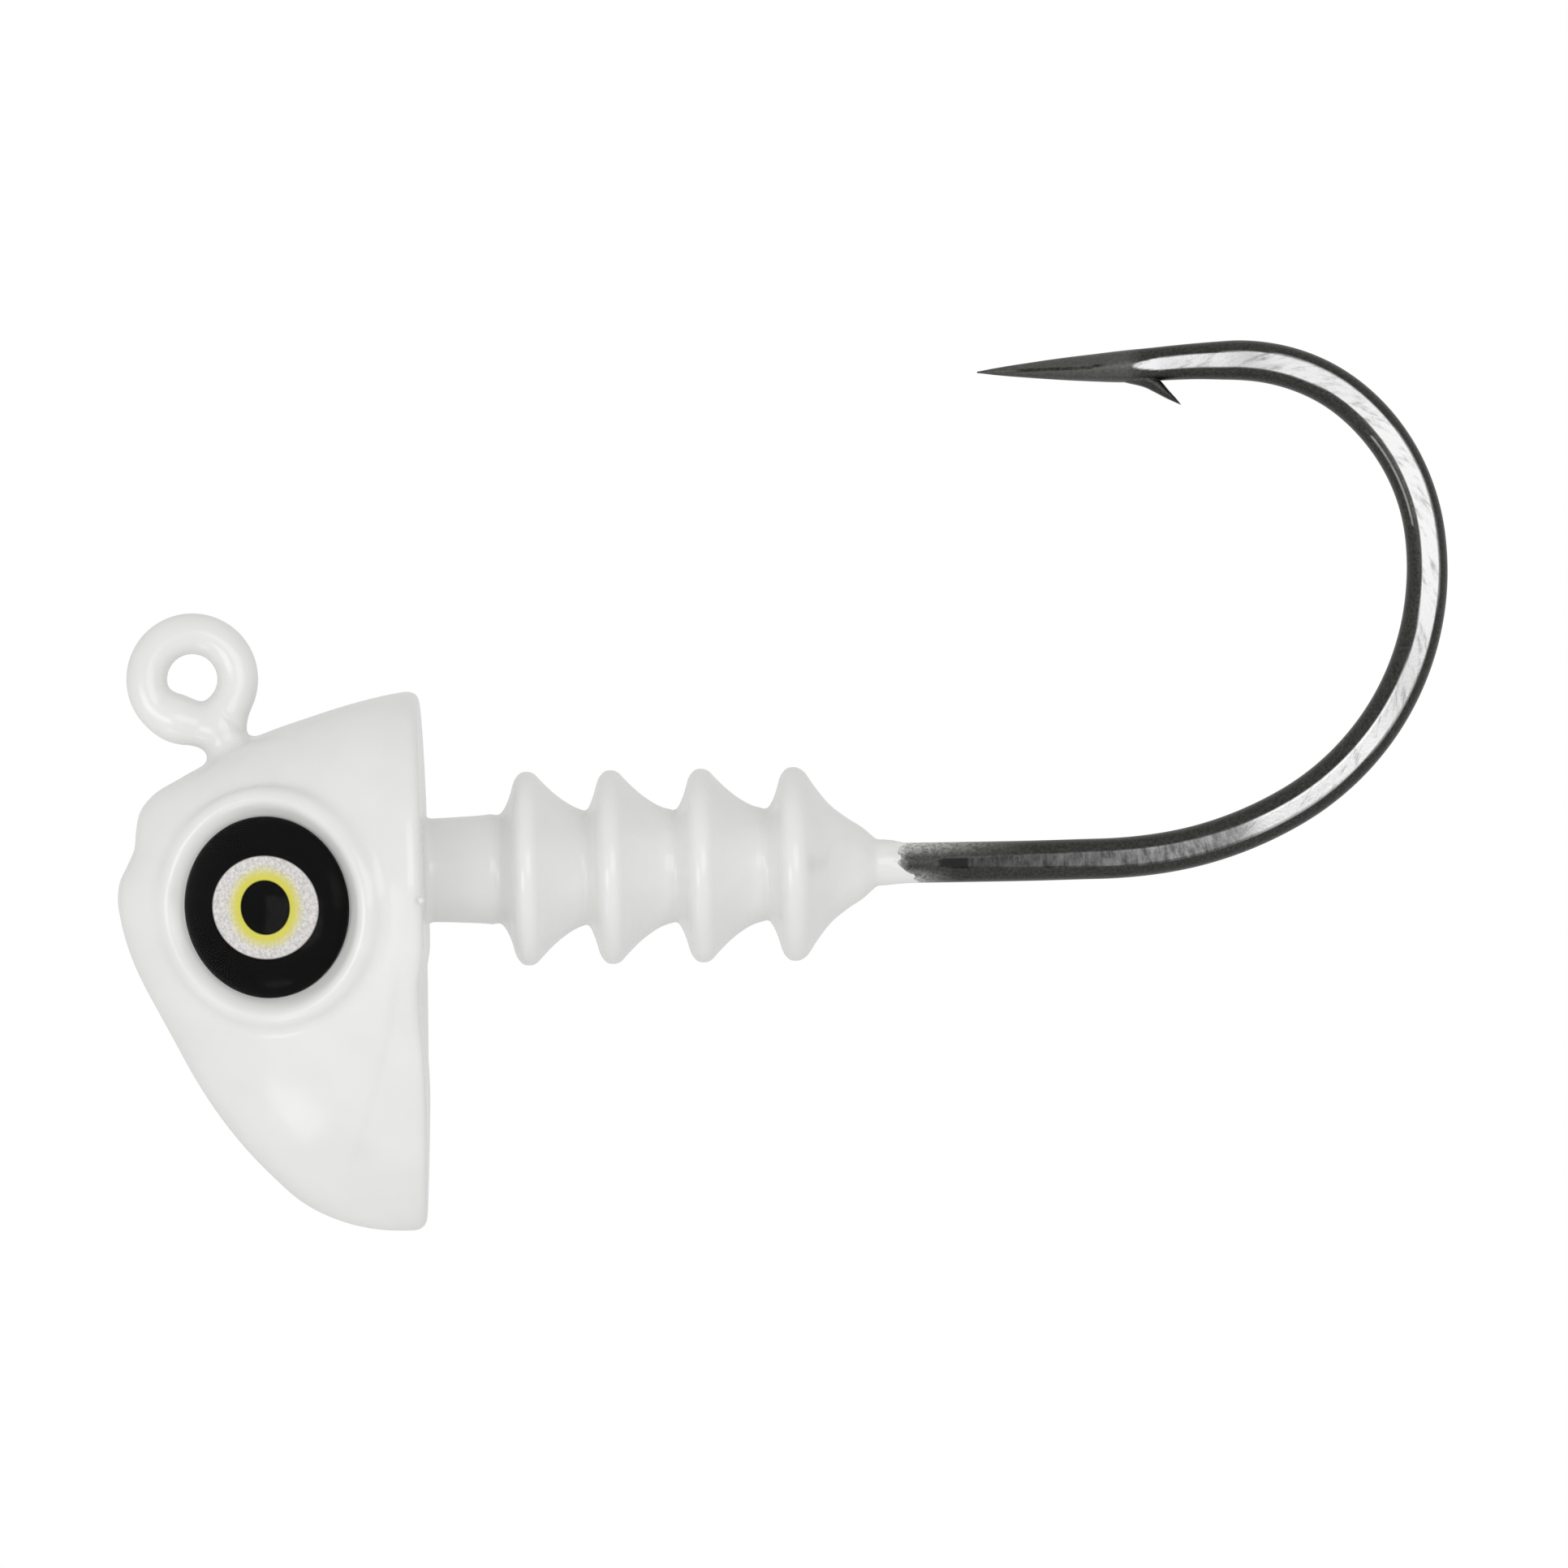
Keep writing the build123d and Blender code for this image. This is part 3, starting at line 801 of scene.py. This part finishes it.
def paint_skin(x, y, z):
    """Signed distance to the outside of the paint."""
    body = blend_in(painted_lead(x, y, z), line_eye_distance(x, y, z), FOOT_FILLET)
    nib = np.sqrt((x - NIB[0]) ** 2 + (y - NIB[1]) ** 2 + (z - NIB[2]) ** 2) - NIB_R
    body = blend_in(body, nib, NIB_R)
    end = SLEEVE_END + ragged_end(np.arctan2(y, SHANK_Z - z))
    thinned = np.clip((x - end) / SLEEVE_FADE, 0, 1)
    return np.maximum(body + SLEEVE_THINNING * thinned, x - SLEEVE_CUT)


coat = mesh_piece("powder_coat_skin", *surface(paint_skin, *COAT_SPACE, COAT_PITCH))


def white_gloss():
    """Baked white gloss, faintly clouded, with a little unevenness in its shine."""
    paint = Finish("white_gloss_powder", **{"Coat Weight": 0.25, "Coat Roughness": 0.08})
    where = paint.place()
    cloud = paint.noise(where, 0.35, 2.0)
    peel = paint.noise(where, 2.4, 0.0)
    thin, full = grey(0.775, (1, 1, 0.975)), grey(0.805, (1, 1, 0.985))
    paint.feed(paint.surface, {
        "Base Color": paint.mix(cloud.step(0.3, 0.7), thin, full),
        "Roughness": 0.20 + 0.06 * peel,
    })
    return paint.material


coat.data.materials.append(white_gloss())
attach(coat, "root")
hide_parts("powder_coat")

# ---------------------------------------------------------------------------------------------
# Stick-on eyes, one on each cheek. Each is an adhesive pad, a foil disc printed with a plain
# silver iris on black, and a drop of clear epoxy that has set into a dome over the disc.

EYE_R = 3.50
# heights over the seat, and how far the epoxy has bitten into the print
PAD_TOP = 0.10
FILM_TOP = 0.22
DOME_HEIGHT = 0.85
BOND_DEPTH = 0.02
DOME_STEPS = 36
EYE_AROUND = 128
# soft edges of the printed rings, and how much wider than tall the iris is
PUPIL_EDGE = (1.02, 1.08)
GLOW_FADE = (1.15, 1.75)
IRIS_EDGE = (2.02, 2.10)
IRIS_WIDE = 1.18
IRIS_LOW = 1.10
PRINT_BLACK = 0.001


def turned_piece(name, side, profile, around):
    """A disc turned about an eye's axis; profile is (radius, height over the seat) pairs."""
    normal = Vector(EYE_NORMAL * (1, -side, 1))
    level = Vector((0, 0, 1)).cross(normal).normalized() * -side
    upright = normal.cross(level) * side
    seat = Vector(eye_seat * (1, -side, 1))
    points = []
    for radius, height in profile:
        for step in range(around):
            angle = step * 2 * pi / around * -side
            points.append(seat + normal * height + (level * cos(angle) + upright * sin(angle)) * radius)
    piece = mesh_piece(name, [tuple(point) for point in points], skin(len(profile), around))
    return piece, level, upright, seat


def film_profile():
    """The foil disc in section, from its lower edge up and in to the centre of its face."""
    side = [(EYE_R - 0.02, PAD_TOP), (EYE_R, PAD_TOP + 0.03)]
    side += [(EYE_R, FILM_TOP - 0.03), (EYE_R - 0.02, FILM_TOP)]
    return side + [(EYE_R * share, FILM_TOP) for share in (0.98, 0.9, 0.75, 0.6, 0.45, 0.3, 0.15, 0.02)]


def dome_profile():
    """The epoxy drop in section: flat underneath, steep at its edge and almost flat on top."""
    base = FILM_TOP - BOND_DEPTH
    rows = [(EYE_R * 0.02, base), (EYE_R * 0.5, base), (EYE_R, base)]
    for step in range(DOME_STEPS + 1):
        angle = step / DOME_STEPS * pi / 2
        share = max(cos(angle), 0.004) ** (2 / 2.3)
        rows.append((EYE_R * share, FILM_TOP + DOME_HEIGHT * sin(angle) ** (2 / 1.9)))
    return rows


def printed_foil(name, seat, level, upright):
    """Black print round a silver iris with a yellow glow and a black pupil."""
    foil = Finish(name, **{"Specular IOR Level": 0.05})
    where = foil.place()
    offset = foil.node("ShaderNodeVectorMath", {"operation": "SUBTRACT"}, {0: where, 1: tuple(seat)})

    def coordinate(axis):
        inputs = {0: offset, 1: tuple(axis)}
        return foil.node("ShaderNodeVectorMath", {"operation": "DOT_PRODUCT"}, inputs, "Value")

    along, up = coordinate(level), coordinate(upright)
    reach = (along * along + up * up) ** 0.5
    oval = (along * along / IRIS_WIDE + up * up * IRIS_LOW) ** 0.5
    iris = 1 - oval.step(*IRIS_EDGE)
    pupil = 1 - reach.step(*PUPIL_EDGE)
    glow = (1 - reach.step(*GLOW_FADE)) * iris
    sparkle = foil.noise(where, 9.0, 4.0, 0.7)
    silver = foil.mix(sparkle.step(0.35, 0.65), grey(0.60, (1, 0.97, 0.95)), grey(0.86, (1, 0.97, 0.96)))
    warm = foil.mix(glow, silver, (0.75, 0.70, 0.12, 1))
    ringed = foil.mix(iris, grey(PRINT_BLACK), warm)
    colour = foil.mix(pupil, ringed, grey(PRINT_BLACK))
    shine = iris * (1 - pupil)
    foil.feed(foil.surface, {
        "Base Color": colour,
        "Metallic": shine * 0.2,
        "Roughness": 0.45 - 0.1 * shine,
    })
    return foil.material


def clear_epoxy():
    """Clear set epoxy with very faint swirls."""
    epoxy = Finish("clear_epoxy", **{"Transmission Weight": 1.0, "IOR": 1.12})
    swirl = epoxy.noise(epoxy.place(), 0.6, 2.0)
    epoxy.feed(epoxy.surface, {
        "Base Color": epoxy.mix(swirl, grey(0.97, (1, 1, 0.99)), grey(1.0)),
        "Roughness": 0.015 + 0.02 * swirl,
    })
    epoxy.bump(swirl, 0.15, 0.02)
    return epoxy.material


def adhesive():
    """Cloudy cream adhesive with small trapped bubbles."""
    glue = Finish("acrylic_adhesive")
    bubbles = glue.noise(glue.place(), 5.0, 3.0)
    glue.feed(glue.surface, {
        "Base Color": glue.mix(bubbles, grey(0.62, (1, 0.98, 0.9)), grey(0.75, (1, 0.98, 0.92))),
        "Roughness": 0.5 + 0.3 * bubbles,
    })
    return glue.material


epoxy_material = clear_epoxy()
adhesive_material = adhesive()
for side, word in ((-1, "left"), (1, "right")):
    film, level, upright, seat = turned_piece(f"eye_foil_{word}", side, film_profile(), EYE_AROUND)
    film.data.materials.append(printed_foil(f"printed_foil_{word}", seat, level, upright))
    dome = turned_piece(f"eye_lens_{word}", side, dome_profile(), EYE_AROUND)[0]
    dome.data.materials.append(epoxy_material)
    for piece, slot in ((film, "eye_film"), (dome, "eye_dome")):
        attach(piece, "root")
        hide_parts(f"{slot}_{word}")
    pad = frame["nodes"][f"eye_adhesive_{word}"]
    pad.data.materials.clear()
    pad.data.materials.append(adhesive_material)

# ---------------------------------------------------------------------------------------------
# Studio. A small pale floor under the part that glows faintly all over and brightly in an oval patch,
# though it is no lamp, a white surround, a soft light in front on the right and another low in front
# on the left, and a long lens square to the hook's middle plane. The glowing patch gives the gloss low
# on the cheek its one bright reflection.

FLOOR_Z = -42.0
FLOOR_R = 90.0
FLOOR_THICK = 1.5
FLOOR_BEVEL = 0.3
FLOOR_AROUND = 96
GLOW_PATCH_CENTRE = (-19, -22)
GLOW_PATCH_HALF = (9, 5)
VIEW_DISTANCE = 590.0
FRAME_WIDTH = 60.66
SENSOR = 36.0
ROLL = radians(1)
AIM = (22.82, 0.0, -4.45)


def floor_disc():
    """A round board with a small bevel that glows faintly all over and brightly in an oval patch, though it
    is no lamp.
    """
    rows = [(FLOOR_R, FLOOR_Z - FLOOR_THICK), (FLOOR_R, FLOOR_Z - FLOOR_BEVEL)]
    rows.append((FLOOR_R - FLOOR_BEVEL, FLOOR_Z))
    points = []
    for radius, height in rows:
        for step in range(FLOOR_AROUND):
            angle = step * 2 * pi / FLOOR_AROUND
            points.append((AIM[0] + radius * cos(angle), radius * sin(angle), height))
    disc = mesh_piece("floor", points, skin(len(rows), FLOOR_AROUND))
    board = Finish("pale_board", **{"Roughness": 0.6, "Emission Strength": 1.0})
    where = board.place()
    x, y = (board.node("ShaderNodeSeparateXYZ", {}, {"Vector": where}, axis) for axis in ("X", "Y"))
    # painted light: the floor glows faintly all over and brightly in an oval patch, though it is no lamp
    off_x = (x - GLOW_PATCH_CENTRE[0]) / GLOW_PATCH_HALF[0]
    off_y = (y - GLOW_PATCH_CENTRE[1]) / GLOW_PATCH_HALF[1]
    glow_patch = 1 - (off_x * off_x + off_y * off_y).step(0.6, 1.3)
    tone = board.noise(where, 0.05, 2.0)
    board.feed(board.surface, {
        "Base Color": board.mix(tone, grey(0.80), grey(0.84)),
        "Emission Color": board.mix(glow_patch, grey(0.13), grey(2.4)),
    })
    disc.data.materials.append(board.material)


def soft_light(name, place, size, power):
    """A flat lamp at a place in millimetres, facing the part; its size is in metres."""
    lamp = bpy.data.lights.new(name, "AREA")
    lamp.shape = "RECTANGLE"
    lamp.size, lamp.size_y = size
    lamp.energy = power
    holder = bpy.data.objects.new(name, lamp)
    holder.location = Vector(place) * MM
    aim = Vector(AIM) * MM - holder.location
    holder.rotation_euler = aim.to_track_quat("-Z", "Y").to_euler()
    bpy.context.collection.objects.link(holder)


floor_disc()
soft_light("front", (140, -420, 45), (0.30, 0.22), 0.33)
soft_light("low_left", (-240, -380, -110), (0.26, 0.16), 0.32)

world = bpy.data.worlds.new("surround")
world.use_nodes = True
sky = world.node_tree
background = sky.nodes["Background"]
path = sky.nodes.new("ShaderNodeLightPath")
seen = sky.nodes.new("ShaderNodeMapRange")
seen.inputs["To Min"].default_value = 0.74
seen.inputs["To Max"].default_value = 1.0
sky.links.new(path.outputs["Is Camera Ray"], seen.inputs["Value"])
sky.links.new(seen.outputs["Result"], background.inputs["Strength"])
background.inputs["Color"].default_value = (1, 1, 1, 1)
bpy.context.scene.world = world
bpy.context.scene.view_settings.view_transform = "Standard"

camera_data = bpy.data.cameras.new("camera")
camera_data.sensor_width = SENSOR
camera_data.lens = SENSOR * VIEW_DISTANCE / FRAME_WIDTH
camera_data.clip_end = 10
camera = bpy.data.objects.new("camera", camera_data)
right = Vector((cos(ROLL), 0, -sin(ROLL)))
up = Vector((sin(ROLL), 0, cos(ROLL)))
turn = Matrix((right, up, right.cross(up))).transposed()
camera.matrix_world = Matrix.Translation((Vector(AIM) - Vector((0, VIEW_DISTANCE, 0))) * MM) @ turn.to_4x4()
bpy.context.collection.objects.link(camera)
bpy.context.scene.camera = camera
